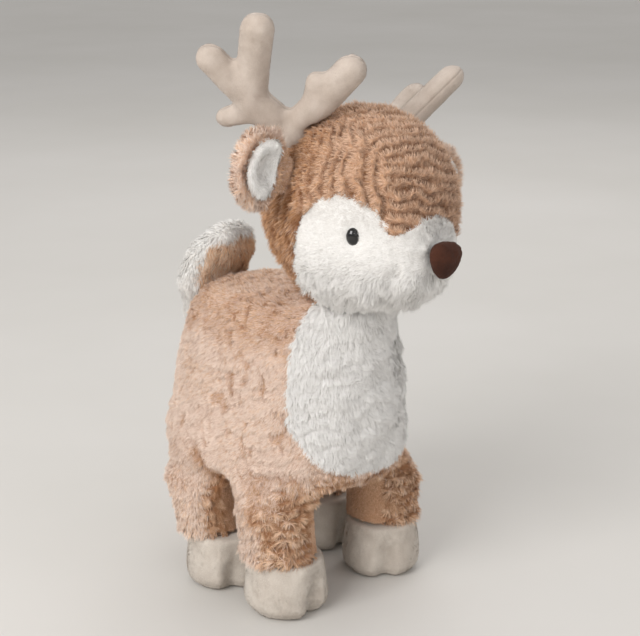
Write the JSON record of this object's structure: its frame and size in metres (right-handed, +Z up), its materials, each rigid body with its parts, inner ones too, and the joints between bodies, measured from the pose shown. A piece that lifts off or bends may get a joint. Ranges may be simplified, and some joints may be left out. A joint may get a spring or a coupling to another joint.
{
  "type": "plush deer",
  "caption": "Standing stuffed plush deer with soft forked antlers, cupped ears, white face and bib, curled tail and short-pile hooves.",
  "frame": {"origin": "on the floor, under the middle of the deer's outline", "axes": "+Z up, -Y the way the chest faces, +X the deer's left side"},
  "size_m": [0.194, 0.2156, 0.3504],
  "materials": {
    "body_plush": "tufted plush pile",
    "head_plush": "tufted plush pile, darker",
    "white_plush": "tufted plush pile",
    "short_pile": "short smooth pile",
    "antler_velboa": "short pile, matte",
    "hoof_velboa": "short pile, matte",
    "nose_fabric": "short pile, matte",
    "eye_gloss": "polished",
    "washer_plastic": "moulded",
    "polyester_filling": "loose fibre"
  },
  "bodies": {
    "torso": {"torso_filling": "polyester_filling", "torso_side_left": "body_plush", "torso_side_right": "body_plush", "chest_bib": "white_plush", "belly_panel": "short_pile"},
    "head": {"head_filling": "polyester_filling", "head_gusset": "head_plush", "muzzle_strip": "white_plush", "head_side_left": "head_plush", "head_side_right": "head_plush", "face_left": "white_plush", "face_right": "white_plush", "nose": "nose_fabric", "eye_left": "eye_gloss", "eye_right": "eye_gloss", "eye_washer_left": "washer_plastic", "eye_washer_right": "washer_plastic"},
    "tail": {"tail_filling": "polyester_filling", "tail_inner_face": "head_plush", "tail_outer_face": "white_plush"},
    "ear_left": {"ear_outer_left": "head_plush", "ear_lining_left": "white_plush"},
    "antler_left": {"antler_front_left": "antler_velboa", "antler_back_left": "antler_velboa"},
    "ear_right": {"ear_outer_right": "head_plush", "ear_lining_right": "white_plush"},
    "antler_right": {"antler_front_right": "antler_velboa", "antler_back_right": "antler_velboa"},
    "leg_front_left": {"leg_filling_front_left": "polyester_filling", "leg_outer_front_left": "body_plush", "leg_inner_front_left": "short_pile", "hoof_front_left": "hoof_velboa"},
    "leg_front_right": {"leg_filling_front_right": "polyester_filling", "leg_outer_front_right": "body_plush", "leg_inner_front_right": "short_pile", "hoof_front_right": "hoof_velboa"},
    "leg_hind_left": {"leg_filling_hind_left": "polyester_filling", "leg_outer_hind_left": "body_plush", "leg_inner_hind_left": "short_pile", "hoof_hind_left": "hoof_velboa"},
    "leg_hind_right": {"leg_filling_hind_right": "polyester_filling", "leg_outer_hind_right": "body_plush", "leg_inner_hind_right": "short_pile", "hoof_hind_right": "hoof_velboa"}
  },
  "joints": [
    {"name": "head_turn", "type": "hinge", "parent": "torso", "child": "head", "pos_m": [-0.013, -0.02843, 0.187], "axis": [0, 0, 1], "range_deg": [-18, 18], "stiffness_Nm_per_rad": 0.3},
    {"name": "ear_fold_left", "type": "hinge", "parent": "head", "child": "ear_left", "pos_m": [0.04326, -0.03018, 0.24257], "axis": [-0.0347, 0.0042, -0.9994], "range_deg": [-15, 25], "stiffness_Nm_per_rad": 0.06},
    {"name": "antler_bend_left", "type": "hinge", "parent": "head", "child": "antler_left", "pos_m": [0.0305, -0.01332, 0.26725], "axis": [-0.0852, -0.8595, 0.504], "range_deg": [-8, 12], "stiffness_Nm_per_rad": 0.4},
    {"name": "ear_fold_right", "type": "hinge", "parent": "head", "child": "ear_right", "pos_m": [-0.06477, -0.03018, 0.26357], "axis": [0.3422, -0.0042, 0.9396], "range_deg": [-15, 25], "stiffness_Nm_per_rad": 0.06},
    {"name": "antler_bend_right", "type": "hinge", "parent": "head", "child": "antler_right", "pos_m": [-0.04369, -0.01332, 0.28168], "axis": [-0.6568, 0.7431, 0.1277], "range_deg": [-8, 12], "stiffness_Nm_per_rad": 0.4},
    {"name": "tail_bend", "type": "hinge", "parent": "torso", "child": "tail", "pos_m": [-0.013, 0.09522, 0.15584], "axis": [1, 0, 0], "range_deg": [-30, 0], "stiffness_Nm_per_rad": 0.15},
    {"name": "leg_bend_front_left", "type": "hinge", "parent": "torso", "child": "leg_front_left", "pos_m": [0.031, -0.01243, 0.057], "axis": [1, 0, 0], "range_deg": [-18, 2], "stiffness_Nm_per_rad": 1.5},
    {"name": "leg_bend_front_right", "type": "hinge", "parent": "torso", "child": "leg_front_right", "pos_m": [-0.057, -0.01243, 0.057], "axis": [1, 0, 0], "range_deg": [-18, 2], "stiffness_Nm_per_rad": 1.5},
    {"name": "leg_bend_hind_left", "type": "hinge", "parent": "torso", "child": "leg_hind_left", "pos_m": [0.031, 0.05207, 0.057], "axis": [1, 0, 0], "range_deg": [-2, 18], "stiffness_Nm_per_rad": 1.5},
    {"name": "leg_bend_hind_right", "type": "hinge", "parent": "torso", "child": "leg_hind_right", "pos_m": [-0.057, 0.05207, 0.057], "axis": [1, 0, 0], "range_deg": [-2, 18], "stiffness_Nm_per_rad": 1.5}
  ]
}
